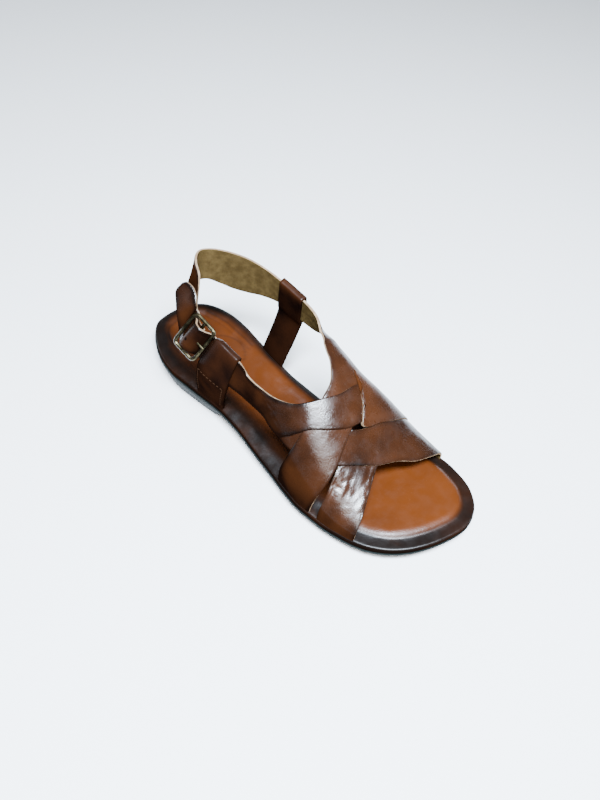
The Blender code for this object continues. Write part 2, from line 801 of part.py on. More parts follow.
def cut_foot_notch(footbed, name, side, first, last, depth, made):
    """Notch in the footbed edge through which a strap foot goes down to the sole."""
    steps = 13
    inner = []
    outer = []
    for k in range(steps):
        along = first + (last - first) * k / (steps - 1)
        place = along * ALONG
        edge = float(outline_across(along, side))
        rim = float(rim_height(place))
        low = rim - FOOTBED_EDGE - 0.002
        high = rim + 0.006
        near = edge + side * 0.003
        far = edge - side * depth
        inner.append([to_world(far, place, low), to_world(far, place, high)])
        outer.append([to_world(near, place, low), to_world(near, place, high)])
    tool = solid_between(name, np.array(inner), np.array(outer), made)
    boolean(footbed, tool, "DIFFERENCE")


def cut_lug(outsole, name, side, along, made):
    """Short groove in the tread that opens at the side of the sole."""
    place = along * ALONG
    edge = float(outline_across(along, side))
    tread = float(tread_height(place))
    centre = to_world(edge - side * (LUG_REACH * 0.5 + 0.001), place, tread)
    axes = (np.array((1.0, 0, 0)), np.array((0, 1.0, 0)), np.array((0, 0, 1.0)))
    tool = block(name, centre, axes, (LUG_REACH + 0.008, LUG_WIDTH, LUG_DEPTH * 2), made)
    boolean(outsole, tool, "DIFFERENCE")


def clear_scene():
    for thing in list(bpy.data.objects):
        bpy.data.objects.remove(thing, do_unlink=True)


clear_scene()
rubber = material("rubber", (0.018, 0.024, 0.024), 0.6, 0.0)
tan = material("footbed_leather", (0.36, 0.16, 0.05), 0.5, 0.0)
brown = material("strap_leather", (0.16, 0.065, 0.03), 0.4, 0.0)
dark = material("loop_leather", (0.11, 0.05, 0.03), 0.45, 0.0)
brass = material("antique_brass", (0.16, 0.14, 0.09), 0.4, 1.0)

outsole = make_outsole(rubber)
footbed = make_footbed(tan)

sling = Ribbon(SLING_STRAP, 9)
buckled = Ribbon(BUCKLED_STRAP, 6)

upper = make_strap("upper", SLING_STRAP, 9, 0.0060, -1, brown)
leg = make_strap("inner_leg", INNER_LEG, 10, 0.0060, -1, brown)
front = make_strap("front_strap", FRONT_STRAP, 7, 0.0060, -1, brown)
toe = make_strap("toe_strap", TOE_STRAP, 6, 0.0060, -1, brown)
held = make_strap("buckled_strap", BUCKLED_STRAP, 6, 0.0055, 1, brown)
for piece in (leg, front, toe, held):
    boolean(upper, piece, "UNION")

forward, raised, out = buckle_frame()[1:]
prong_room = block("prong_room", in_buckle(2.1, 0, 1.4), (forward, raised, out),
                   (0.0112, 0.0027, 0.0105), brown)
boolean(upper, prong_room, "DIFFERENCE")

outer_loop = make_loop("outer_loop", buckled, OUTER_LOOP, 1, dark)
inner_loop = make_loop("inner_loop", sling, INNER_LOOP, -1, dark)
buckle = make_buckle(brass)
prong = make_prong(brass)

NOTCHES = (
    ("toe_strap_notch", -1, 213.2, 243.8, STRAP_INSET + GAP),
    ("sling_strap_notch", -1, 172.4, 207.8, STRAP_INSET + GAP),
    ("inner_straps_notch", 1, 179.2, 247.8, STRAP_INSET + GAP),
    ("outer_loop_notch", -1, 76.2, 103.8, 0.0034 + GAP),
    ("inner_loop_notch", 1, 79.2, 104.8, 0.0034 + GAP),
)
for label, side, first_at, last_at, deep in NOTCHES:
    cut_foot_notch(footbed, label, side, first_at, last_at, deep, tan)

for side in (-1, 1):
    for number, along_at in enumerate((30, 50, 70, 180, 196, 212, 228)):
        cut_lug(outsole, "lug_%s_%d" % ("outer" if side < 0 else "inner", number),
                side, along_at, rubber)
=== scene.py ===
"""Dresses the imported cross-strap sandal: leather straps, padded footbed, rubber sole, brass buckle."""
import math
from collections import namedtuple

import bmesh
import bpy
import numpy as np
from mathutils import Matrix, Vector
from mathutils.geometry import tessellate_polygon


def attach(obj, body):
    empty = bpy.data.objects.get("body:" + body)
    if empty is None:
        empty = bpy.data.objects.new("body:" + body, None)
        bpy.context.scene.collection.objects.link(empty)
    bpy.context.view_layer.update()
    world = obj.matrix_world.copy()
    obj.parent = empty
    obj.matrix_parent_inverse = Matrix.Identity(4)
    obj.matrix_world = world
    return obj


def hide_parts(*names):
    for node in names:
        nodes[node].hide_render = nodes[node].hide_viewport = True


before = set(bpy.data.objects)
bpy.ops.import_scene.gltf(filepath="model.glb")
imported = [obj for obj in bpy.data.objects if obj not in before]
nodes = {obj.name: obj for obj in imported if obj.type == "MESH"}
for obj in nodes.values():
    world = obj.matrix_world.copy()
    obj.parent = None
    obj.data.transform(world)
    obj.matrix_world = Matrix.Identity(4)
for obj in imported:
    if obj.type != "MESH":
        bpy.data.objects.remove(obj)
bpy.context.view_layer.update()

# Shared shapes. The sole outline, the rise of its rim and the last round which the straps lie are
# the ones that the solids were made with, counted along the sole in thousandths of a metre.
HEEL_END = -4.0
TOE_END = 294.0
MM = 0.001
STRAP_INSET = 3.2
FOOT_DEPTH = 5.0

Outline = namedtuple("Outline", "along outer inner")
OUTLINE = [
    Outline(-4, 4, 4),
    Outline(-2.5, -8, 17),
    Outline(2, -15, 28.5),
    Outline(11, -22.5, 37),
    Outline(24, -30, 41.6),
    Outline(37, -34.8, 42.9),
    Outline(52, -37.4, 41.6),
    Outline(72, -37, 37.8),
    Outline(99, -35.7, 33),
    Outline(120, -37.6, 30.8),
    Outline(147, -43.2, 30.8),
    Outline(164, -46.6, 33.5),
    Outline(182, -50.8, 40),
    Outline(200, -53.6, 47.6),
    Outline(217, -53.4, 52),
    Outline(235, -51, 53.75),
    Outline(251, -46.6, 53),
    Outline(264, -39.3, 50),
    Outline(275, -29, 45.6),
    Outline(284, -15.6, 38.6),
    Outline(291, 0.5, 29),
    Outline(294, 15, 15),
]
Rim = namedtuple("Rim", "along height")
RIM = [
    Rim(-4, 22),
    Rim(30, 22),
    Rim(60, 21.6),
    Rim(92, 20),
    Rim(120, 17.8),
    Rim(145, 15.6),
    Rim(165, 14.2),
    Rim(185, 13.4),
    Rim(210, 13.2),
    Rim(238, 13.4),
    Rim(260, 14.8),
    Rim(280, 17),
    Rim(294, 19),
]
Last = namedtuple("Last", "along top ridge inner_out inner_power")
LAST = [
    Last(60, 116, 2, 6, 3.2),
    Last(90, 107, 3, 9, 3.2),
    Last(120, 98, 4, 13, 3.2),
    Last(140, 91, 6, 12.5, 2.9),
    Last(160, 83, 8, 8, 2.6),
    Last(183, 70, 10, 0, 2.75),
    Last(200, 57, 10, 0, 2.65),
    Last(215, 45, 10, 0, 2.6),
    Last(230, 36, 9, 0, 2.4),
    Last(245, 30, 9, 0, 2.3),
    Last(260, 26, 8, 0, 2.3),
]
OUTER_POWER = 2.3


def hermite(xs, ys, at):
    """Monotone cubic through the points (xs, ys), read at each value of at."""
    steps = np.diff(xs)
    slopes = np.diff(ys) / steps
    tangents = np.zeros(len(xs))
    tangents[0] = slopes[0]
    tangents[-1] = slopes[-1]
    for k in range(1, len(xs) - 1):
        if slopes[k - 1] * slopes[k] > 0:
            first = 2 * steps[k] + steps[k - 1]
            second = steps[k] + 2 * steps[k - 1]
            tangents[k] = (first + second) / (first / slopes[k - 1] + second / slopes[k])
    at = np.clip(at, xs[0], xs[-1])
    k = np.clip(np.searchsorted(xs, at, side="right") - 1, 0, len(xs) - 2)
    t = (at - xs[k]) / steps[k]
    start = ys[k] * (1 + 2 * t) * (1 - t) ** 2 + tangents[k] * steps[k] * t * (1 - t) ** 2
    end = ys[k + 1] * t * t * (3 - 2 * t) + tangents[k + 1] * steps[k] * t * t * (t - 1)
    return start + end


def column(rows, name, at):
    """A table column read at each value of at by a smooth curve through its rows."""
    xs = np.array([row.along for row in rows], float)
    ys = np.array([getattr(row, name) for row in rows], float)
    return hermite(xs, ys, np.asarray(at, float))


def turn(along):
    """Place along the sole as an angle share, so that both round ends are sampled finely."""
    share = (np.asarray(along, float) - HEEL_END) / (TOE_END - HEEL_END)
    return np.arccos(np.clip(1 - 2 * share, -1, 1)) / math.pi


def sole_edge(along, side):
    """Across position of the sole edge, -1 the outer side and 1 the inner side."""
    xs = turn([row.along for row in OUTLINE])
    name = "outer" if side < 0 else "inner"
    return hermite(xs, np.array([getattr(row, name) for row in OUTLINE], float), turn(along))


def rim_height(along):
    return column(RIM, "height", along)


def to_world(across, along, up):
    """Across, along and up in thousandths of a metre become world metres, toe to -Y."""
    across, along, up = np.broadcast_arrays(across, along, up)
    middle = (HEEL_END + TOE_END) / 2
    return np.stack([across, middle - along, up], -1) * MM


def last_point(angle, along):
    """Point of the last: -90 the outer sole edge, 90 the inner one, 100 the foot below the rim."""
    base = float(rim_height(along))
    side = -1 if angle < 0 else 1
    turned = math.radians(min(abs(angle), 90.0))
    ridge = float(column(LAST, "ridge", along))
    top = float(column(LAST, "top", along))
    out = 0.0 if side < 0 else float(column(LAST, "inner_out", along))
    power = OUTER_POWER if side < 0 else float(column(LAST, "inner_power", along))
    edge = float(sole_edge(along, side)) - side * STRAP_INSET + side * out
    across = ridge + (edge - ridge) * math.sin(turned) ** (2 / power)
    height = base + (top - base) * max(math.cos(turned), 0.0) ** (2 / power)
    if abs(angle) > 90:
        height = base - FOOT_DEPTH * (abs(angle) - 90) / 10.0
    return to_world(across, along, height)


def unit(vector):
    vector = np.asarray(vector, float)
    return vector / np.linalg.norm(vector)


def ripple(seed, place, wave):
    """Smooth random value from -1 to 1 at places, by a few sines of unlike directions."""
    rng = np.random.default_rng(seed)
    place = np.asarray(place, float)
    total = np.zeros(place.shape[:-1])
    for _ in range(7):
        direction = rng.normal(size=place.shape[-1])
        direction /= np.linalg.norm(direction)
        pitch = wave * rng.uniform(0.6, 1.6)
        total = total + np.sin(place @ direction * (2 * math.pi / pitch) + rng.uniform(0, 6.28))
    return total / 3.5


def groove(distance, width):
    """Soft trough of depth one at distance zero, gone past its width."""
    return np.exp(-(distance / width) ** 2)


def line_distance(places, line):
    """Distance from flat places to a line through a few points."""
    line = np.asarray(line, float)
    best = np.full(len(places), 1e9)
    for first, last in zip(line[:-1], line[1:]):
        span = last - first
        share = np.clip(((places - first) @ span) / (span @ span), 0, 1)
        best = np.minimum(best, np.linalg.norm(places - first - share[:, None] * span, axis=1))
    return best


# Shared looks. Every leather has fine pores and a slow cloud of darker burnish, so those come from a
# group that the materials share; every cut edge is raw and pale.
def new_group(name, inputs, outputs):
    """Node group with value inputs and value or colour outputs."""
    group = bpy.data.node_groups.new(name, "ShaderNodeTree")
    for label, value in inputs:
        socket = group.interface.new_socket(label, in_out="INPUT", socket_type="NodeSocketFloat")
        socket.default_value = value
    for label, kind in outputs:
        group.interface.new_socket(label, in_out="OUTPUT", socket_type=kind)
    return group


def noise_node(tree, scale, detail, roughness=0.55):
    made = tree.nodes.new("ShaderNodeTexNoise")
    made.inputs["Scale"].default_value = scale
    made.inputs["Detail"].default_value = detail
    made.inputs["Roughness"].default_value = roughness
    return made


def math_node(tree, operation, first, second):
    made = tree.nodes.new("ShaderNodeMath")
    made.operation = operation
    for index, value in enumerate((first, second)):
        if isinstance(value, (int, float)):
            made.inputs[index].default_value = value
        else:
            tree.links.new(value, made.inputs[index])
    return made.outputs[0]


def range_node(tree, value, low, high, to_low, to_high):
    made = tree.nodes.new("ShaderNodeMapRange")
    made.interpolation_type = "SMOOTHSTEP"
    tree.links.new(value, made.inputs["Value"])
    for label, number in zip(("From Min", "From Max", "To Min", "To Max"),
                             (low, high, to_low, to_high)):
        made.inputs[label].default_value = number
    return made.outputs["Result"]


def make_surface_group():
    """Pores, wrinkles and cloud of a hide, from object coordinates."""
    group = new_group("hide_surface",
                      [("Pore Scale", 900.0), ("Wrinkle Scale", 120.0), ("Cloud Scale", 28.0)],
                      [("Pores", "NodeSocketFloat"), ("Wrinkles", "NodeSocketFloat"),
                       ("Cloud", "NodeSocketFloat")])
    start = group.nodes.new("NodeGroupInput")
    end = group.nodes.new("NodeGroupOutput")
    place = group.nodes.new("ShaderNodeTexCoord")
    for label, result, detail in (("Pore Scale", "Pores", 3.0), ("Wrinkle Scale", "Wrinkles", 4.0),
                                  ("Cloud Scale", "Cloud", 5.0)):
        texture = noise_node(group, 1.0, detail)
        group.links.new(place.outputs["Object"], texture.inputs["Vector"])
        group.links.new(start.outputs[label], texture.inputs["Scale"])
        group.links.new(texture.outputs["Fac"], end.inputs[result])
    return group


HIDE = make_surface_group()


# The tops are rubbed glossy and the sides stay dull: each piece keeps in its polish attribute how
# far every point faces up when the shoe stands, and the gloss grows between these two values.
DULL_SLOPE = 0.40
GLOSSY_SLOPE = 0.85
DULL_GLOSS = 0.0


def leather(name, dark, light, roughness, gloss, bump, attribute=None, cloud=28.0, pore=900.0,
            mottle=0.16):
    """Leather between two colours, by its cloud and by a shade attribute of the piece."""
    made = bpy.data.materials.new(name)
    made.use_nodes = True
    tree = made.node_tree
    shader = tree.nodes["Principled BSDF"]
    surface = tree.nodes.new("ShaderNodeGroup")
    surface.node_tree = HIDE
    surface.inputs["Pore Scale"].default_value = pore
    surface.inputs["Cloud Scale"].default_value = cloud
    shade = range_node(tree, surface.outputs["Cloud"], 0.3, 0.7, -mottle, mottle)
    # The shade attribute carries each piece's own tone together with its painted light and shade.
    if attribute:
        read = tree.nodes.new("ShaderNodeAttribute")
        read.attribute_name = attribute
        shade = math_node(tree, "ADD", read.outputs["Fac"], shade)
    else:
        shade = math_node(tree, "ADD", shade, 0.5)
    blend = tree.nodes.new("ShaderNodeMix")
    blend.data_type = "RGBA"
    blend.clamp_factor = True
    tree.links.new(shade, blend.inputs["Factor"])
    blend.inputs["A"].default_value = (*dark, 1.0)
    blend.inputs["B"].default_value = (*light, 1.0)
    tree.links.new(blend.outputs["Result"], shader.inputs["Base Color"])
    tree.links.new(range_node(tree, surface.outputs["Wrinkles"], 0.3, 0.7,
                              roughness - 0.07, roughness + 0.07), shader.inputs["Roughness"])
    polish = tree.nodes.new("ShaderNodeAttribute")
    polish.attribute_name = "polish"
    tree.links.new(range_node(tree, polish.outputs["Fac"], DULL_SLOPE, GLOSSY_SLOPE, DULL_GLOSS,
                              gloss), shader.inputs["Specular IOR Level"])
    height = math_node(tree, "MULTIPLY", surface.outputs["Wrinkles"], 1.6)
    height = math_node(tree, "ADD", height, surface.outputs["Pores"])
    relief = tree.nodes.new("ShaderNodeBump")
    relief.inputs["Strength"].default_value = bump
    relief.inputs["Distance"].default_value = 0.0004
    tree.links.new(height, relief.inputs["Height"])
    tree.links.new(relief.outputs["Normal"], shader.inputs["Normal"])
    return made


strap_leather = leather("strap_leather", (0.0040, 0.0016, 0.0010), (0.046, 0.0142, 0.0044),
                        0.26, 0.52, 0.30, "shade")
loop_leather = leather("loop_leather", (0.0035, 0.0016, 0.0012), (0.034, 0.0105, 0.0035),
                       0.40, 0.20, 0.3, "shade")
suede = leather("suede", (0.036, 0.022, 0.0075), (0.088, 0.058, 0.022), 0.95, 0.0, 0.9,
                cloud=160.0, pore=1500.0, mottle=0.3)
raw_edge = leather("raw_edge", (0.12, 0.065, 0.033), (0.36, 0.26, 0.17), 0.8, 0.0, 0.6,
                   cloud=200.0, mottle=0.3)
footbed_leather = leather("footbed_leather", (0.0045, 0.0024, 0.0017), (0.094, 0.0225, 0.0030),
                          0.36, 0.30, 0.25, "shade", cloud=22.0, mottle=0.07)
thread_material = leather("thread", (0.010, 0.005, 0.003), (0.045, 0.021, 0.011), 0.8, 0.0, 0.2,
                          cloud=300.0)
# Painted shade: the near-black of the shadow inside a punched hole.
hole_shadow_material = leather("hole_shadow", (0.002, 0.001, 0.001), (0.006, 0.003, 0.002), 0.9, 0.0, 0.0)


def add_piece(name, verts, faces, materials, face_slots=None, shade=None, smooth=True):
    """Mesh piece that rides on the sandal, with a material slot per face and a shade per point."""
    mesh = bpy.data.meshes.new(name)
    mesh.from_pydata([tuple(float(c) for c in v) for v in verts], [], faces)
    for made in materials:
        mesh.materials.append(made)
    if face_slots is not None:
        mesh.polygons.foreach_set("material_index", np.array(face_slots, dtype=np.int32))
    mesh.polygons.foreach_set("use_smooth", np.full(len(mesh.polygons), smooth))
    if shade is not None:
        layer = mesh.attributes.new("shade", "FLOAT", "POINT")
        layer.data.foreach_set("value", np.asarray(shade, dtype=np.float32))
    mesh.update()
    mesh.attributes.new("polish", "FLOAT", "POINT")
    thing = bpy.data.objects.new(name, mesh)
    bpy.context.scene.collection.objects.link(thing)
    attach(thing, "root")
    return thing


def set_polish(thing):
    """Store how far each point faces up; called when the faces of a piece look outward."""
    mesh = thing.data
    facing = np.zeros(len(mesh.vertices) * 3)
    mesh.vertices.foreach_get("normal", facing)
    layer = mesh.attributes["polish"]
    layer.data.foreach_set("value", facing[2::3].astype(np.float32))


# Outsole. The real one is a thin black-green rubber sole with a sharp top edge; its solid has the
# right shape, so it only takes a matt rubber finish.
def rubber(name):
    made = bpy.data.materials.new(name)
    made.use_nodes = True
    tree = made.node_tree
    shader = tree.nodes["Principled BSDF"]
    place = tree.nodes.new("ShaderNodeTexCoord")
    texture = noise_node(tree, 500.0, 4.0)
    tree.links.new(place.outputs["Object"], texture.inputs["Vector"])
    blend = tree.nodes.new("ShaderNodeMix")
    blend.data_type = "RGBA"
    tree.links.new(texture.outputs["Fac"], blend.inputs["Factor"])
    blend.inputs["A"].default_value = (0.003, 0.005, 0.005, 1.0)
    blend.inputs["B"].default_value = (0.009, 0.012, 0.011, 1.0)
    tree.links.new(blend.outputs["Result"], shader.inputs["Base Color"])
    shader.inputs["Roughness"].default_value = 0.62
    shader.inputs["Specular IOR Level"].default_value = 0.12
    relief = tree.nodes.new("ShaderNodeBump")
    relief.inputs["Strength"].default_value = 0.3
    relief.inputs["Distance"].default_value = 0.0003
    tree.links.new(texture.outputs["Fac"], relief.inputs["Height"])
    tree.links.new(relief.outputs["Normal"], shader.inputs["Normal"])
    return made


def finish_node(name, material):
    """A CAD node keeps its shape and takes one material."""
    thing = nodes[name]
    for index in range(len(thing.data.materials)):
        thing.data.materials[index] = material
    return thing


finish_node("outsole", rubber("sole_rubber"))

# Footbed. A tan leather insole, padded in the middle, rolls down to a dark burnished flat margin;
# its heel is a shallow cup with a bare oval stamp and creases along the inner side of the cup.
Pad = namedtuple("Pad", "inset heel waist ball toe")
PAD = [
    Pad(0.0, -1.2, -1.2, -1.2, -1.2),
    Pad(0.5, -0.4, -0.4, -0.4, -0.4),
    Pad(1.4, 0.0, 0.0, 0.0, 0.0),
    Pad(5.0, 0.8, 1.4, 0.4, 0.1),
    Pad(8.5, 0.6, 2.2, 1.0, 0.5),
    Pad(11.5, -0.6, 1.8, 2.0, 2.4),
    Pad(15.0, -1.8, 0.6, 2.2, 3.4),
    Pad(21.0, -2.6, -0.4, 1.8, 3.6),
    Pad(40.0, -2.8, -0.6, 1.6, 3.6),
]
FOOTBED_EDGE = 5.0
FOOTBED_GAP = 0.6
EDGE_POINTS = 170
PAD_RINGS = 44
RING_CROWDING = 1.35
# Creases as flat lines (across, along), depth and width in thousandths of a metre.
FOOTBED_CREASES = [
    ([(29.4, 17), (31.5, 28), (32, 39), (30.7, 51), (29.5, 63), (27.9, 72.5)], 0.5, 0.8),
    ([(25.5, 18), (27.5, 28), (28, 39), (26.9, 51), (25.7, 63), (24, 73)], 0.35, 0.7),
    ([(6.3, 7.6), (-5.5, 9.8), (-10.7, 14.6), (-14.9, 21.9), (-19.2, 36.6)], 0.5, 0.8),
]
OVAL_CENTRE = (9.0, 59.0)
OVAL_HALF = (15.5, 19.0)
OVAL_TURN = 0.0


def edge_ring(count):
    """Sole outline as one closed ring: up the outer side to the toe, then back down the inner."""
    turns = np.linspace(0, math.pi, count)
    places = HEEL_END + (TOE_END - HEEL_END) * 0.5 * (1 - np.cos(turns))
    outer = np.stack([sole_edge(places, -1), places], 1)
    inner = np.stack([sole_edge(places, 1), places], 1)
    return np.vstack([outer, inner[-2:0:-1]])


def ring_inward(loop):
    """Unit directions across the ring, towards its inside."""
    tangent = np.roll(loop, -1, axis=0) - np.roll(loop, 1, axis=0)
    tangent /= np.linalg.norm(tangent, axis=1)[:, None]
    return np.stack([tangent[:, 1], -tangent[:, 0]], 1)


def pad_rise(inset, along):
    """Rise of the padded footbed above its rim, by distance in from the edge."""
    insets = np.array([row.inset for row in PAD])
    stations = np.array([55.0, 130.0, 205.0, 262.0])
    levels = np.stack([hermite(insets, np.array([getattr(row, name) for row in PAD]), inset)
                       for name in ("heel", "waist", "ball", "toe")])
    along = np.clip(along, stations[0], stations[-1])
    k = np.clip(np.searchsorted(stations, along, side="right") - 1, 0, 2)
    t = (along - stations[k]) / (stations[k + 1] - stations[k])
    index = np.arange(len(along))
    return levels[k, index] * (1 - t) + levels[k + 1, index] * t


def make_footbed():
    """Closed footbed: bottom, side wall, rolled rim and padded top drawn in to a middle line."""
    edge = edge_ring(EDGE_POINTS)
    inward = ring_inward(edge)
    rim = edge + inward * FOOTBED_GAP
    closed_rim = np.vstack([rim, rim[:1]])
    spine = np.stack([edge[:, 0], np.clip(edge[:, 1], 42.0, 246.0)], 1)
    width_middle = (sole_edge(spine[:, 1], -1) + sole_edge(spine[:, 1], 1)) / 2
    spine[:, 0] = width_middle
    shares = np.linspace(0, 1, PAD_RINGS) ** RING_CROWDING
    count = len(edge)
    rings = []
    shades = []
    bottom = rim_height(edge[:, 1]) - FOOTBED_EDGE
    for inset, rise in ((6.0, 0.0), (0.4, 0.0), (0.0, 0.6), (0.0, 2.4)):
        flat = rim + inward * inset
        rings.append(to_world(flat[:, 0], flat[:, 1], bottom + rise))
        shades.append(np.zeros(count))
    for share in shares:
        flat = rim * (1 - share) + spine * share
        inset = line_distance(flat, closed_rim)
        up = rim_height(flat[:, 1]) + pad_rise(inset, flat[:, 1])
        up = up + 0.12 * ripple(3, flat, 60.0) * np.clip(inset / 12, 0, 1)
        for line, depth, width in FOOTBED_CREASES:
            up = up - depth * groove(line_distance(flat, line), width)
        centre = np.array(OVAL_CENTRE)
        turned = np.radians(OVAL_TURN)
        side = (flat - centre) @ np.array([math.cos(turned), math.sin(turned)])
        long = (flat - centre) @ np.array([-math.sin(turned), math.cos(turned)])
        oval = np.sqrt((side / OVAL_HALF[0]) ** 2 + (long / OVAL_HALF[1]) ** 2)
        up = up - 0.25 * groove((oval - 1) * OVAL_HALF[0], 0.7)
        rings.append(to_world(flat[:, 0], flat[:, 1], up))
        toe = np.clip((flat[:, 1] - 200) / 40, 0, 1)
        heel = np.clip((90 - flat[:, 1]) / 40, 0, 1)
        outer_side = np.clip((width_middle - flat[:, 0]) / 14 - 0.2, 0, 1)
        waist = (1 - toe) * (1 - heel) * outer_side
        # Painted shade: on the outer waist, under the straps, the dark margin reaches further in, and
        # the heel and the middle are dimmed. The dark margin and the tan centre themselves are the
        # leather's own two tones.
        start = 3.0 + 4.5 * toe + 3.0 * heel * outer_side + 5.0 * waist
        lit = np.clip((inset - start) / (7.0 - 1.5 * toe + 9.0 * waist + 4.5 * heel), 0, 1)
        painted_shade_dimming = 0.30 * heel * (0.35 + 0.65 * outer_side) + 0.17 * (1 - toe) * (1 - heel)
        lit = lit * lit * (3 - 2 * lit) * (0.72 - painted_shade_dimming)
        lit = lit + 0.06 * waist
        lit = lit + 0.05 * ripple(9, flat, 26.0)
        # Painted shade along the creases: the leather is drawn darker in each crease line. The oval
        # stamp's groove is drawn darker too.
        for line, depth, width in FOOTBED_CREASES:
            lit = lit - 0.35 * depth * groove(line_distance(flat, line), width * 1.2)
        lit = lit - 0.2 * groove((oval - 1) * OVAL_HALF[0], 0.9)
        shades.append(lit)
    verts = np.vstack(rings)
    faces = []
    for level in range(len(rings) - 1):
        for k in range(count):
            ahead = (k + 1) % count
            low, high = level * count, (level + 1) * count
            faces.append((low + k, high + k, high + ahead, low + ahead))
    faces.append(tuple(range(count)))
    made = add_piece("footbed_dressed", verts, faces, [footbed_leather],
                     shade=np.concatenate(shades))
    body = bmesh.new()
    body.from_mesh(made.data)
    bmesh.ops.remove_doubles(body, verts=body.verts, dist=0.00001)
    bmesh.ops.recalc_face_normals(body, faces=body.faces)
    body.to_mesh(made.data)
    body.free()
    set_polish(made)
    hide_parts("footbed")
    return made


make_footbed()


# Straps. Burnished brown leather, smooth and glossy outside, suede inside, with raw pale cut
# edges; the tables repeat the rows of the solids: angle round the last and place along the sole.
OnLast = namedtuple("OnLast", "a_angle a_along b_angle b_along lift")
InAir = namedtuple("InAir", "a_across a_along a_up b_across b_along b_up lift thick")
InBuckle = namedtuple("InBuckle", "forward a_up b_up depth thick")
LEATHER = 2.0
LAYER_STEP = 1.5

TOE_STRAP = [
    OnLast(-100, 214, -100, 243, 0),
    OnLast(-90, 214, -90, 243, 0),
    OnLast(-76, 214, -74, 242.5, 0),
    OnLast(-59, 213, -53, 240, 0),
    OnLast(-43, 210, -30, 233, 0.1),
    OnLast(-32, 207, -12, 225, 0.25),
    OnLast(-22, 203, 0, 218, 0.25),
    OnLast(-13, 199, 8, 212, 0.25),
]
FRONT_STRAP = [
    OnLast(100, 247, 100, 208, 0),
    OnLast(90, 247, 90, 208, 0),
    OnLast(76, 246.5, 76, 208, 0.5),
    OnLast(56, 246, 60, 208.5, 0.9),
    OnLast(34, 244, 42, 209.5, 1.1),
    OnLast(14, 239.5, 24, 210, 1.2),
    OnLast(1, 232, 10, 208, 1.2),
    OnLast(-12, 224, -5, 203.5, 1.1),
    OnLast(-24, 215.5, -16, 198, 1),
    OnLast(-35, 207.5, -27, 190, 1),
    OnLast(-47, 197, -37, 181, 1),
    OnLast(-56, 185, -43, 172, 0.95),
    OnLast(-61, 174, -47, 163, 0.8),
    OnLast(-62.5, 164, -50, 155, 0.7),
]
INNER_LEG = [
    OnLast(100, 214, 100, 180, 0.3),
    OnLast(90, 214, 90, 180, 0.3),
    OnLast(76, 214, 80, 178, 0.9),
    OnLast(60, 214, 71, 174, 1.6),
    OnLast(38, 213, 62, 168, 2.0),
    OnLast(20, 210.5, 55, 162, 2.2),
    OnLast(6, 207, 50, 157, 2.1),
    OnLast(-6, 201.5, 46, 153, 2.1),
    OnLast(0, 192, 42, 150, 2.05),
    OnLast(7, 183.5, 37, 148, 1.7),
]
SLING_STRAP = [
    OnLast(-100, 173.3, -100, 207, 0),
    OnLast(-90, 173.5, -90, 207, 0.1),
    OnLast(-78, 175.5, -74, 208.5, 0.9),
    OnLast(-66, 178, -59, 209, 1.6),
    OnLast(-52, 179, -46, 208.5, 1.95),
    OnLast(-38, 178.5, -34, 206, 2),
    OnLast(-26, 176.5, -23, 202, 2),
    OnLast(-16, 174, -12, 197.5, 2),
    OnLast(-8, 171.5, -1, 191, 2),
    OnLast(-3, 167.5, 8, 182, 2),
    OnLast(2, 161, 24, 171, 2),
    OnLast(7, 154, 40, 160, 2),
    OnLast(13, 148, 50, 150, 2),
    InAir(24, 141, 89, 39, 138, 70, 0, 1),
    InAir(31, 131, 91, 38.5, 127, 69, 0, 1),
    InAir(34.5, 119, 92.5, 38.5, 116, 69.5, 0, 1),
    InAir(35.5, 106, 94.5, 38, 103, 71.5, 0, 1),
    InAir(35.5, 93, 97, 37.5, 91, 74, 0, 1),
    InAir(33.5, 78, 101, 35.5, 75, 72, 0, 1),
    InAir(28, 67, 106, 31, 64, 71, 0, 1),
    InAir(20, 57.5, 110.5, 24, 54.7, 73.5, 0, 1),
    InAir(11, 47.5, 113, 15, 50, 81, 0, 1),
    InAir(2.5, 43, 113.5, 4.5, 44.5, 88, 0, 1),
    InAir(-5.5, 49, 112.5, -8, 42, 87, 0, 1),
    InAir(-13.5, 61, 110, -20, 51.5, 84, 0, 1),
    InBuckle(-13.5, 14, -9, -7.0, 1.0),
    InBuckle(-9.5, 13, -9.5, -6.2, 0.95),
    InBuckle(-5.5, 10, -9.5, -4.2, 0.75),
    InBuckle(-2.4, 9.5, -9.5, -3.0, 0.6),
    InBuckle(0, 9.5, -9.5, -2.75, 0.6),
    InBuckle(1.95, 9.5, -9.5, -1.95, 0.6),
    InBuckle(2.75, 9.5, -9.5, 0, 0.6),
    InBuckle(1.95, 9.5, -9.5, 1.95, 0.6),
    InBuckle(0, 9.5, -9.5, 2.75, 0.6),
]
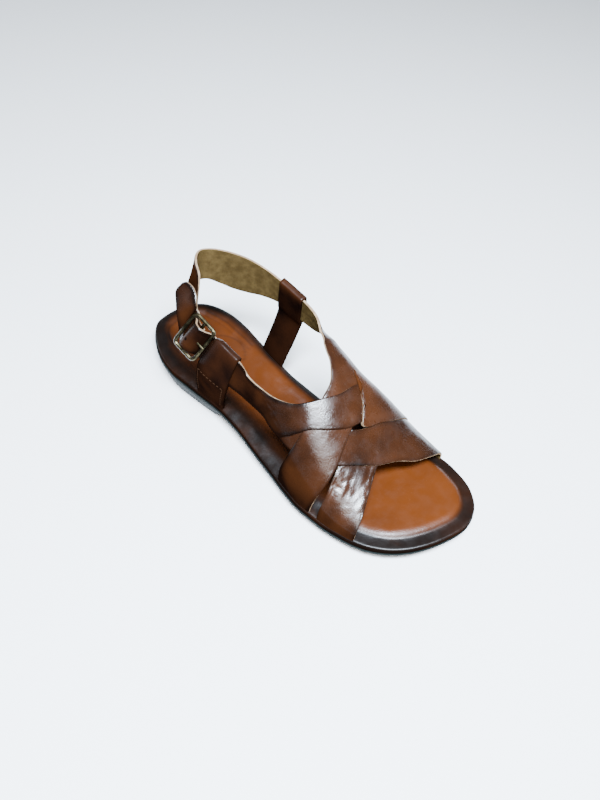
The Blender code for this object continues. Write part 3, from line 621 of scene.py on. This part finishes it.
BUCKLED_STRAP = [
    OnLast(24, 188, 15, 207.5, 1.3),
    OnLast(17, 184.5, 7, 204, 1.3),
    OnLast(9, 182.5, -3, 200, 2),
    OnLast(1, 181, -9, 198.3, 3),
    OnLast(-8, 179.5, -16, 196, 3),
    OnLast(-17, 175.5, -27, 189.5, 3),
    OnLast(-27, 170.5, -38.5, 181, 2.8),
    OnLast(-36, 164, -53, 172.5, 1.9),
    OnLast(-42, 156, -61, 166, 1.5),
    OnLast(-46, 148, -62.5, 157, 1.25),
    OnLast(-49, 139, -62, 147.5, 0.9),
    OnLast(-51.5, 130, -64.5, 137, 0.7),
    OnLast(-52, 122, -67.5, 126, 0.6),
    InAir(-28.5, 116, 77, -36, 113.5, 56, 0, 1),
    InAir(-28.5, 106, 79.5, -37.5, 103, 58.5, 0, 1),
    InAir(-28.3, 96.5, 81.5, -38.5, 93, 61.5, 0, 1),
    InBuckle(15.0, 10.5, -10.5, -3.3, 1.0),
    InBuckle(10.0, 10.5, -10.5, -4.5, 1.0),
    InBuckle(6.4, 10.5, -10.5, -2.0, 1.0),
    InBuckle(3.2, 10.5, -10.5, 2.6, 1.0),
    InBuckle(0, 10.5, -10.5, 3.7, 1.0),
    InBuckle(-3.2, 10.5, -10.5, 2.6, 1.0),
    InBuckle(-6.4, 10.5, -10.5, -2.0, 1.0),
    InBuckle(-10.0, 10.3, -9.5, -4.5, 1.0),
    InBuckle(-13.2, 10.3, -7.0, -3.2, 1.0),
    InAir(-24, 67.5, 94, -34, 58, 86, 0, 1),
    InAir(-21, 65, 98.5, -30, 53.5, 92, 0, 1),
    InAir(-19, 61, 101.5, -26, 49, 96, 0, 1),
    InAir(-18.5, 57, 103.5, -23, 49, 99, 0, 1),
    InAir(-19, 53, 104, -20.5, 50.5, 102.5, 0, 1),
]
BUCKLE_CENTRE = (-34.0, 75.0, 75.5)
BUCKLE_FORWARD = (0.02, 0.935, -0.350)
BUCKLE_UP = (0.52, 0.24, 0.81)


def buckle_frame():
    """Centre and axes of the buckle: forward, up along its bar, and out of the shoe."""
    centre = to_world(*BUCKLE_CENTRE)
    forward = unit((BUCKLE_FORWARD[0], -BUCKLE_FORWARD[1], BUCKLE_FORWARD[2]))
    raised = np.array((BUCKLE_UP[0], -BUCKLE_UP[1], BUCKLE_UP[2]))
    raised = unit(raised - forward * raised.dot(forward))
    out = np.cross(raised, forward)
    if out[0] > 0:
        out = -out
    return centre, forward, raised, out


def in_buckle(ahead, up, away):
    centre, forward, raised, out = buckle_frame()
    return centre + (forward * ahead + raised * up + out * away) * MM


def row_points(row, shares):
    """Base points of one strap row across its width, with its lift and thickness."""
    if isinstance(row, OnLast):
        points = [last_point(row.a_angle + (row.b_angle - row.a_angle) * s,
                             row.a_along + (row.b_along - row.a_along) * s) for s in shares]
        return np.array(points), row.lift * LAYER_STEP, LEATHER
    if isinstance(row, InAir):
        first = to_world(row.a_across, row.a_along, row.a_up)
        last = to_world(row.b_across, row.b_along, row.b_up)
        return first + (last - first) * shares[:, None], 0.0, row.thick * LEATHER
    points = [in_buckle(row.forward, row.a_up + (row.b_up - row.a_up) * s, row.depth)
              for s in shares]
    return np.array(points), 0.0, row.thick * LEATHER


class Ribbon:
    """A strap: rows of points across it, joined by a cubic along it, with outward normals."""

    def __init__(self, rows, shares):
        self.shares = shares
        parts = [row_points(row, shares) for row in rows]
        self.rows = np.array([part[0] for part in parts])
        self.lifts = np.array([part[1] for part in parts]) * MM
        self.thicks = np.array([part[2] for part in parts]) * MM
        middles = self.rows.mean(axis=1)
        lengths = np.linalg.norm(np.diff(middles, axis=0), axis=1)
        self.places = np.concatenate([[0.0], np.cumsum(lengths)])
        self.tangents = np.zeros_like(self.rows)
        for k in range(len(rows)):
            low, high = max(k - 1, 0), min(k + 1, len(rows) - 1)
            span = self.places[high] - self.places[low]
            self.tangents[k] = (self.rows[high] - self.rows[low]) / span

    def place_of(self, row_number):
        return float(np.interp(row_number, np.arange(len(self.places)), self.places))

    def points(self, place):
        k = int(np.clip(np.searchsorted(self.places, place, side="right") - 1,
                        0, len(self.places) - 2))
        span = self.places[k + 1] - self.places[k]
        t = min(max((place - self.places[k]) / span, 0.0), 1.0)
        first = self.rows[k] * (1 + 2 * t) * (1 - t) ** 2
        first = first + self.tangents[k] * span * t * (1 - t) ** 2
        last = self.rows[k + 1] * t * t * (3 - 2 * t)
        return first + last + self.tangents[k + 1] * span * t * t * (t - 1)

    def normals(self, place):
        reach = 0.0008
        along = (self.points(min(place + reach, self.places[-1]))
                 - self.points(max(place - reach, 0.0)))
        across = np.gradient(self.points(place), axis=0)
        out = np.cross(along, across)
        out = out / np.linalg.norm(out, axis=1)[:, None]
        middle = len(out) // 2
        for j in list(range(middle - 1, -1, -1)) + list(range(middle + 1, len(out))):
            beside = j + 1 if j < middle else j - 1
            if out[j].dot(out[beside]) < 0.9:
                out[j] = out[beside]
        return out

    def lift(self, place):
        return float(np.interp(place, self.places, self.lifts))

    def thick(self, place):
        return float(np.interp(place, self.places, self.thicks))


def troughs(seed, along, across, wave, stretch):
    """Narrow creases of depth up to one that run mostly along the strap."""
    places = np.stack([along / stretch, across], -1)
    warp = ripple(seed + 1, places, wave * 2.2) * wave * 0.35
    places = places + np.stack([warp, warp], -1)
    return np.clip(1 - np.abs(ripple(seed, places, wave)), 0, 1) ** 5


def bump_at(along, across, centre, reach):
    """Weight of one at a centre along and across a strap, gone past its reach."""
    return np.exp(-((along - centre[0]) / reach[0]) ** 2 - ((across - centre[1]) / reach[1]) ** 2)


def make_strap(name, rows, flip, relief, shade, columns=27, spacing=1.5):
    """Strap piece with a dressed outer face, a suede inner face and raw edges."""
    shares = 0.5 * (1 - np.cos(math.pi * np.linspace(0, 1, columns)))
    ribbon = Ribbon(rows, shares)
    length = ribbon.places[-1]
    places = np.linspace(0, length, int(length / (spacing * MM)) + 1)
    inner = []
    outer = []
    tones = []
    for place in places:
        points = ribbon.points(place)
        out = ribbon.normals(place) * flip
        width = np.linalg.norm(np.diff(points, axis=0), axis=1).sum() / MM
        across = shares * width
        along = np.full(columns, place / MM)
        from_edge = np.minimum(across, width - across)
        worn = 0.35 * np.clip(1 - from_edge / 0.9, 0, 1) ** 2
        rise = relief(along, across, width) - worn
        base = points + out * ribbon.lift(place)
        inner.append(base + out * (0.15 * np.clip(1 - from_edge / 0.8, 0, 1) ** 2 * MM)[:, None])
        outer.append(base + out * (ribbon.thick(place) + rise * MM)[:, None])
        # The tone is the strap's painted light and shade, and it is darker near the cut edges where they
        # are burnished.
        tone = shade(along, across, width) - 0.25 * np.clip(1 - from_edge / 3.5, 0, 1)
        tones.append(tone)
    inner = np.array(inner)
    outer = np.array(outer)
    stations = len(places)
    verts = np.vstack([inner.reshape(-1, 3), outer.reshape(-1, 3)])
    shift = stations * columns
    faces = []
    slots = []
    for i in range(stations - 1):
        for j in range(columns - 1):
            a = i * columns + j
            faces.append((a, a + 1, a + columns + 1, a + columns))
            faces.append((a + shift, a + columns + shift, a + columns + 1 + shift, a + 1 + shift))
            slots += [1, 0]
        a = i * columns
        b = a + columns - 1
        faces.append((a, a + columns, a + columns + shift, a + shift))
        faces.append((b, b + shift, b + columns + shift, b + columns))
        slots += [2, 2]
    for j in range(columns - 1):
        c = (stations - 1) * columns + j
        faces.append((j, j + shift, j + 1 + shift, j + 1))
        faces.append((c, c + 1, c + 1 + shift, c + shift))
        slots += [2, 2]
    tones = np.array(tones).reshape(-1)
    made = add_piece(name, verts, faces, [strap_leather, suede, raw_edge], slots,
                     np.concatenate([tones, tones]))
    body = bmesh.new()
    body.from_mesh(made.data)
    if body.calc_volume(signed=True) < 0:
        bmesh.ops.reverse_faces(body, faces=body.faces)
    for edge in body.edges:
        kinds = {face.material_index for face in edge.link_faces}
        edge.smooth = len(kinds) < 2
    body.to_mesh(made.data)
    body.free()
    set_polish(made)
    return made, ribbon


def plain_relief(seed, depth):
    """Slow unevenness with a few faint creases."""
    def relief(along, across, width):
        places = np.stack([along, across], -1)
        creases = troughs(seed + 3, along, across, 9, 2)
        return depth * (0.5 * ripple(seed, places, 22.0) - 0.6 * creases)
    return relief


def toe_relief(along, across, width):
    """Deep long creases where the toes bend the leather."""
    places = np.stack([along, across], -1)
    weight = np.clip((along - 14) / 18, 0, 1)
    slow = 0.30 * ripple(21, places / [1.8, 1.0], 9.0)
    return weight * (slow - 0.75 * troughs(23, along, across, 7.0, 2.6))


def front_relief(along, across, width):
    """Two patches of creases on the front strap, above its middle and at its inner side."""
    weight = (0.25 + bump_at(along, across, (34, 14), (12, 9))
              + bump_at(along, across, (72, 12), (12, 10)))
    return -0.45 * weight * troughs(33, along, across, 6.5, 1.8)


def buckled_relief(along, across, width):
    """Creases where the strap dives under the inner leg, and on its narrow part."""
    weight = (0.2 + bump_at(along, across, (26, 22), (9, 9))
              + 0.6 * bump_at(along, across, (85, 10), (20, 9)))
    return -0.4 * weight * troughs(43, along, across, 6.0, 1.6)


def leg_relief(along, across, width):
    """The inner leg rises over the end of the buckled strap, which shows through it as a step."""
    over = np.clip((along - 62) / 10, 0, 1) * np.clip(1.25 - across / 9, 0, 1)
    return 1.45 * over + plain_relief(52, 0.2)(along, across, width)


def painted_shading_along(seed, stops, levels, spread=0.1):
    """Painted light and shade that change along the strap, lighter where a part is lit and darker where
    it faces away from the light, with a random tone on top.
    """
    def shade(along, across, width):
        return (np.interp(along, stops, levels)
                + spread * ripple(seed, np.stack([along, across], -1), 24.0))
    return shade


# Each strap's levels along it are painted light and shade: dark where the strap turns away from the
# light, light where it is lit.
make_strap("toe_strap", TOE_STRAP, -1, toe_relief,
           painted_shading_along(61, [8, 35, 70], [0.40, 0.55, 0.2]))
make_strap("front_strap", FRONT_STRAP, -1, front_relief,
           painted_shading_along(62, [5, 25, 60, 110], [0.12, 0.30, 0.45, 0.3]))
sling_painted_shading = painted_shading_along(63, [8, 26, 50, 90, 140], [0.08, 0.28, 0.42, 0.7, 0.35])
sling_strap, sling_ribbon = make_strap("sling_strap", SLING_STRAP, -1, plain_relief(51, 0.18),
                                       sling_painted_shading)
make_strap("inner_leg", INNER_LEG, -1, leg_relief,
           painted_shading_along(64, [8, 40, 80], [0.3, 0.6, 0.75]))
buckled_painted_shading = painted_shading_along(65, [0, 30, 70, 120, 160, 200],
                             [0.45, 0.42, 0.12, 0.10, 0.14, 0.16])
buckled_strap, buckled_ribbon = make_strap("buckled_strap", BUCKLED_STRAP, 1, buckled_relief,
                                           buckled_painted_shading)
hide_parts("upper")

# Loops. Each is a strip of leather folded over its strap and sewn to itself under it, with a flat
# leg down between the footbed and the sole, and a line of stitches at the seam and down the leg.
# The last column is how much painted light lightens the top of the loop.
Loop = namedtuple("Loop", "front rear foot_front foot_rear side flip glow")
OUTER_LOOP = Loop(13.1, 15.75, 103, 77, -1, 1, 0.30)
INNER_LOOP = Loop(15.3, 17.0, 104, 80, 1, -1, 0.75)
LOOP_LEATHER = 1.8
LOOP_CLEAR = 0.45
LOOP_STATIONS = 14


def strap_section(ribbon, row_number, flip):
    """Lower edge, width, up and outward directions of a strap at a row number, in metres."""
    place = ribbon.place_of(row_number)
    points = ribbon.points(place)
    out = unit(ribbon.normals(place).mean(axis=0) * flip)
    raised = unit(points[0] - points[-1])
    out = unit(out - raised * out.dot(raised))
    base = out * ribbon.lift(place)
    return points[-1] + base, np.linalg.norm(points[0] - points[-1]), raised, out


def rounded(points, rounds):
    """Closed outline with its corners cut and cut again into curves."""
    points = np.asarray(points)
    for _ in range(rounds):
        ahead = np.roll(points, -1, axis=0)
        points = np.stack([points * 0.78 + ahead * 0.22, points * 0.22 + ahead * 0.78], 1)
        points = points.reshape(-1, points.shape[-1])
    return points


def make_loop(name, ribbon, loop, node):
    """Folded loop with an open slot for its strap."""
    wall = LOOP_LEATHER * MM
    clear = LOOP_CLEAR * MM
    bulk = LEATHER * MM
    stations = LOOP_STATIONS
    outers = []
    holes = []
    legs = []
    for k in range(stations):
        share = k / (stations - 1)
        row_number = loop.front + (loop.rear - loop.front) * share
        lower, width, raised, out = strap_section(ribbon, row_number, loop.flip)
        foot_along = loop.foot_front + (loop.foot_rear - loop.foot_front) * share
        rim = float(rim_height(foot_along))
        edge = float(sole_edge(foot_along, loop.side))
        inner_edge = edge - loop.side * 3.4
        outer_edge = edge - loop.side * 0.8
        foot_in = to_world(inner_edge, foot_along, rim - FOOT_DEPTH)
        foot_out = to_world(outer_edge, foot_along, rim - FOOT_DEPTH)
        rim_in = to_world(inner_edge, foot_along, rim + 1.5)
        rim_out = to_world(outer_edge, foot_along, rim + 1.5)
        middle = bulk / 2
        leg = wall * 0.95
        head = bulk + clear + wall

        def at(up, outward):
            return lower + raised * up + out * outward

        seam_in = at(-0.0050, middle - leg)
        seam_out = at(-0.0050, middle + leg)
        bend_in = seam_in * 0.55 + rim_in * 0.45 + out * 0.0012
        bend_out = seam_out * 0.55 + rim_out * 0.45 + out * 0.0012
        section = [foot_in, rim_in, bend_in, seam_in, at(-clear - wall * 0.4, -clear - wall),
                   at(width * 0.5, -clear - wall), at(width + clear, -clear - wall),
                   at(width + clear + wall, -clear - wall * 0.4),
                   at(width + clear + wall, head - wall * 0.5), at(width + clear, head),
                   at(width * 0.5, head + 0.0002), at(-clear - wall * 0.4, head),
                   seam_out, bend_out, rim_out, foot_out]
        outers.append(rounded(section, 2))
        legs.append([seam_out, bend_out, rim_out, out * MM])
        hole = [at(-clear, -clear), at(width + clear, -clear),
                at(width + clear, bulk + clear), at(-clear, bulk + clear)]
        holes.append(np.array(hole))
    outers = np.array(outers)
    holes = np.array(holes)
    ring = outers.shape[1]
    verts = np.vstack([outers.reshape(-1, 3), holes.reshape(-1, 3)])
    start = stations * ring
    faces = []
    for k in range(stations - 1):
        for j in range(ring):
            ahead = (j + 1) % ring
            low, high = k * ring, (k + 1) * ring
            faces.append((low + j, low + ahead, high + ahead, high + j))
        for j in range(4):
            ahead = (j + 1) % 4
            low, high = start + k * 4, start + (k + 1) * 4
            faces.append((low + j, high + j, high + ahead, low + ahead))
    for k in (0, stations - 1):
        outline = [Vector(p) for p in outers[k]]
        hole = [Vector(p) for p in holes[k]]
        labels = [k * ring + j for j in range(ring)] + [start + k * 4 + j for j in range(4)]
        for corners in tessellate_polygon([outline, hole]):
            faces.append(tuple(labels[c] for c in corners))
    places = verts / MM
    # Random tone, lighter towards the top of each loop as painted light; the inner loop's head takes
    # more of it than the outer's.
    tones = 0.12 + 0.10 * ripple(71 + loop.side, places, 20.0)
    top = np.percentile(places[:, 2], 88)
    tones = tones + loop.glow * np.clip((places[:, 2] - top + 7) / 10, 0, 1)
    made = add_piece(name, verts, faces, [loop_leather], shade=tones)
    body = bmesh.new()
    body.from_mesh(made.data)
    bmesh.ops.recalc_face_normals(body, faces=body.faces)
    body.to_mesh(made.data)
    body.free()
    set_polish(made)
    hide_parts(node)
    return np.array(legs)


STITCH_LENGTH = 2.3
STITCH_PITCH = 3.2
STITCH_RADIUS = 0.30
STITCH_CORNERS = 6
# Rings of one stitch: share of its length, share of its radius and rise in radii.
STITCH_RINGS = ((0, 0.35, -0.5), (0.2, 0.9, 0.2), (0.5, 1, 0.4), (0.8, 0.9, 0.2), (1, 0.35, -0.5))


def stitch(first, last, out):
    """Points and faces of one stitch: a thread with tapered ends, half sunk in the leather."""
    way = last - first
    side = unit(np.cross(way, out))
    rise = unit(np.cross(side, way))
    rings = []
    for share, size, lift in STITCH_RINGS:
        centre = first + way * share + rise * lift * STITCH_RADIUS * MM
        for corner in range(STITCH_CORNERS):
            angle = 2 * math.pi * corner / STITCH_CORNERS
            rings.append(centre + (side * math.cos(angle) + rise * math.sin(angle))
                         * size * STITCH_RADIUS * MM)
    faces = []
    last_ring = (len(STITCH_RINGS) - 1) * STITCH_CORNERS
    for low in range(0, last_ring, STITCH_CORNERS):
        high = low + STITCH_CORNERS
        for corner in range(STITCH_CORNERS):
            ahead = (corner + 1) % STITCH_CORNERS
            faces.append((low + corner, high + corner, high + ahead, low + ahead))
    faces.append(tuple(range(STITCH_CORNERS)))
    faces.append(tuple(range(last_ring + STITCH_CORNERS - 1, last_ring - 1, -1)))
    return rings, faces


def stitch_row(name, path, outs):
    """Row of stitches along a path with outward directions."""
    path = np.asarray(path)
    steps = np.linalg.norm(np.diff(path, axis=0), axis=1)
    places = np.concatenate([[0.0], np.cumsum(steps)])

    def spot(place):
        return np.array([np.interp(place, places, path[:, axis]) for axis in range(3)])

    verts = []
    faces = []
    count = int((places[-1] / MM - STITCH_LENGTH) / STITCH_PITCH) + 1
    for index in range(count):
        first = index * STITCH_PITCH * MM
        out = outs[min(int(index / count * len(outs)), len(outs) - 1)]
        ring_points, ring_faces = stitch(spot(first), spot(first + STITCH_LENGTH * MM), out)
        faces += [tuple(corner + len(verts) for corner in face) for face in ring_faces]
        verts += ring_points
    made = add_piece(name, verts, faces, [thread_material])
    body = bmesh.new()
    body.from_mesh(made.data)
    bmesh.ops.recalc_face_normals(body, faces=body.faces)
    body.to_mesh(made.data)
    body.free()
    return made


def loop_stitches(name, legs):
    """One row across the leg under the fold, and one down each edge of the leg."""
    count = len(legs)
    across = [legs[k][0] * 0.97 + legs[k][2] * 0.03 for k in range(1, count - 1)]
    stitch_row(name + "_seam", across, [legs[k][3] for k in range(1, count - 1)])
    for label, k in (("front", 1), ("rear", count - 2)):
        seam, bend, rim, out = legs[k]
        path = [seam + (bend - seam) * share for share in (0.1, 0.4, 0.7, 0.95)]
        path += [bend + (rim - bend) * share for share in (0.05, 0.4, 0.8)]
        stitch_row(name + "_" + label, path, [out] * len(path))


outer_legs = make_loop("outer_loop_dressed", buckled_ribbon, OUTER_LOOP, "outer_loop")
inner_legs = make_loop("inner_loop_dressed", sling_ribbon, INNER_LOOP, "inner_loop")
loop_stitches("outer_stitches", outer_legs)
loop_stitches("inner_stitches", inner_legs)


# Punched holes. A prong hole shows in the strap inside the buckle, and a smaller one ends the slit in
# the crossing. Each is a short dark plug, flush with the leather, and its near-black colour is painted
# shade for the shadow inside the hole.
Hole = namedtuple("Hole", "name strap across along up radius")
HOLES = [
    Hole("strap_hole", buckled_strap, -40.2, 72.6, 76.3, 1.1),
    Hole("slit_hole", sling_strap, -11.1, 198.9, 62.4, 0.9),
]
HOLE_DEPTH = 0.8
HOLE_RISE = 0.04
HOLE_CORNERS = 20


def make_hole(hole):
    """Short cylinder along the strap's own normal, its top a hair above the outer face."""
    centre = Vector(to_world(hole.across, hole.along, hole.up))
    nearest = min(hole.strap.data.vertices, key=lambda vertex: (vertex.co - centre).length)
    out = nearest.normal.normalized()
    side = out.orthogonal().normalized()
    other = out.cross(side)
    verts = []
    for depth in (-HOLE_DEPTH, HOLE_RISE):
        for corner in range(HOLE_CORNERS):
            angle = 2 * math.pi * corner / HOLE_CORNERS
            reach = (side * math.cos(angle) + other * math.sin(angle)) * hole.radius * MM
            verts.append(centre + out * depth * MM + reach)
    faces = [tuple(range(HOLE_CORNERS))[::-1], tuple(range(HOLE_CORNERS, 2 * HOLE_CORNERS))]
    for corner in range(HOLE_CORNERS):
        ahead = (corner + 1) % HOLE_CORNERS
        faces.append((corner, ahead, ahead + HOLE_CORNERS, corner + HOLE_CORNERS))
    made = add_piece(hole.name, verts, faces, [hole_shadow_material], smooth=False)


for hole in HOLES:
    make_hole(hole)


# Buckle. A cast antique brass frame with rounded corners, a centre bar and a thin prong; its finish is a
# random mottle between darker patina and brighter rubbed brass.
def brass(name):
    made = bpy.data.materials.new(name)
    made.use_nodes = True
    tree = made.node_tree
    shader = tree.nodes["Principled BSDF"]
    place = tree.nodes.new("ShaderNodeTexCoord")
    texture = noise_node(tree, 260.0, 4.0)
    tree.links.new(place.outputs["Object"], texture.inputs["Vector"])
    blend = tree.nodes.new("ShaderNodeMix")
    blend.data_type = "RGBA"
    tree.links.new(range_node(tree, texture.outputs["Fac"], 0.35, 0.7, 0.0, 1.0),
                   blend.inputs["Factor"])
    blend.inputs["A"].default_value = (0.022, 0.019, 0.010, 1.0)
    blend.inputs["B"].default_value = (0.085, 0.070, 0.038, 1.0)
    tree.links.new(blend.outputs["Result"], shader.inputs["Base Color"])
    shader.inputs["Metallic"].default_value = 1.0
    shader.inputs["Roughness"].default_value = 0.36
    return made


antique_brass = brass("antique_brass")
finish_node("buckle", antique_brass)
finish_node("prong", antique_brass)

# Camera, floor and light. The photo looks down at the outer side from ahead, a little rolled, on a
# white ground under a broad soft light overhead.
TARGET = np.array([6.21, -0.376, 30.0]) * MM
DISTANCE = 0.5055
AZIMUTH = math.radians(-52.93)
ELEVATION = math.radians(49.88)
ROLL = math.radians(6.58)
LENS = 30.25
SHIFT = (-0.001, 0.0026)


def make_camera():
    back = np.array([math.sin(AZIMUTH) * math.cos(ELEVATION),
                     -math.cos(AZIMUTH) * math.cos(ELEVATION), math.sin(ELEVATION)])
    right = np.array([math.cos(AZIMUTH), math.sin(AZIMUTH), 0.0])
    raised = np.cross(back, right)
    side = right * math.cos(ROLL) + raised * math.sin(ROLL)
    top = -right * math.sin(ROLL) + raised * math.cos(ROLL)
    lens = bpy.data.cameras.new("photo_camera")
    lens.lens = LENS
    lens.sensor_width = 36.0
    lens.shift_x, lens.shift_y = SHIFT
    lens.clip_start = 0.01
    thing = bpy.data.objects.new("photo_camera", lens)
    bpy.context.scene.collection.objects.link(thing)
    place = TARGET + back * DISTANCE
    columns = np.stack([side, top, back, place], 1)
    thing.matrix_world = Matrix([list(row) for row in columns] + [[0.0, 0.0, 0.0, 1.0]])
    bpy.context.scene.camera = thing


def soft_light(name, place, target, size, power, colour):
    data = bpy.data.lights.new(name, "AREA")
    data.shape = "RECTANGLE"
    data.size, data.size_y = size
    data.energy = power
    data.color = colour
    thing = bpy.data.objects.new(name, data)
    bpy.context.scene.collection.objects.link(thing)
    thing.location = place
    thing.rotation_mode = "QUATERNION"
    way = Vector(target) - Vector(place)
    thing.rotation_quaternion = way.to_track_quat("-Z", "Y")


def make_floor():
    mesh = bpy.data.meshes.new("floor")
    half = 4.0
    mesh.from_pydata([(-half, -half, 0), (half, -half, 0), (half, half, 0), (-half, half, 0)],
                     [], [(0, 1, 2, 3)])
    pale = bpy.data.materials.new("pale_floor")
    pale.use_nodes = True
    shader = pale.node_tree.nodes["Principled BSDF"]
    shader.inputs["Base Color"].default_value = (0.93, 0.93, 0.93, 1.0)
    shader.inputs["Roughness"].default_value = 0.9
    shader.inputs["Specular IOR Level"].default_value = 0.1
    mesh.materials.append(pale)
    thing = bpy.data.objects.new("floor", mesh)
    bpy.context.scene.collection.objects.link(thing)


def make_world():
    world = bpy.data.worlds.new("studio")
    world.use_nodes = True
    ground = world.node_tree.nodes["Background"]
    ground.inputs["Color"].default_value = (0.90, 0.95, 1.0, 1.0)
    ground.inputs["Strength"].default_value = 0.16
    bpy.context.scene.world = world


make_camera()
make_floor()
make_world()
soft_light("overhead", (-0.26, -0.30, 0.95), (0, 0, 0.02), (0.52, 0.20), 74.0, (0.76, 0.87, 1.0))
soft_light("floor_wash", (-1.3, -1.5, 2.4), (0, 0, 0), (1.2, 1.2), 60.0, (1.0, 0.98, 0.95))
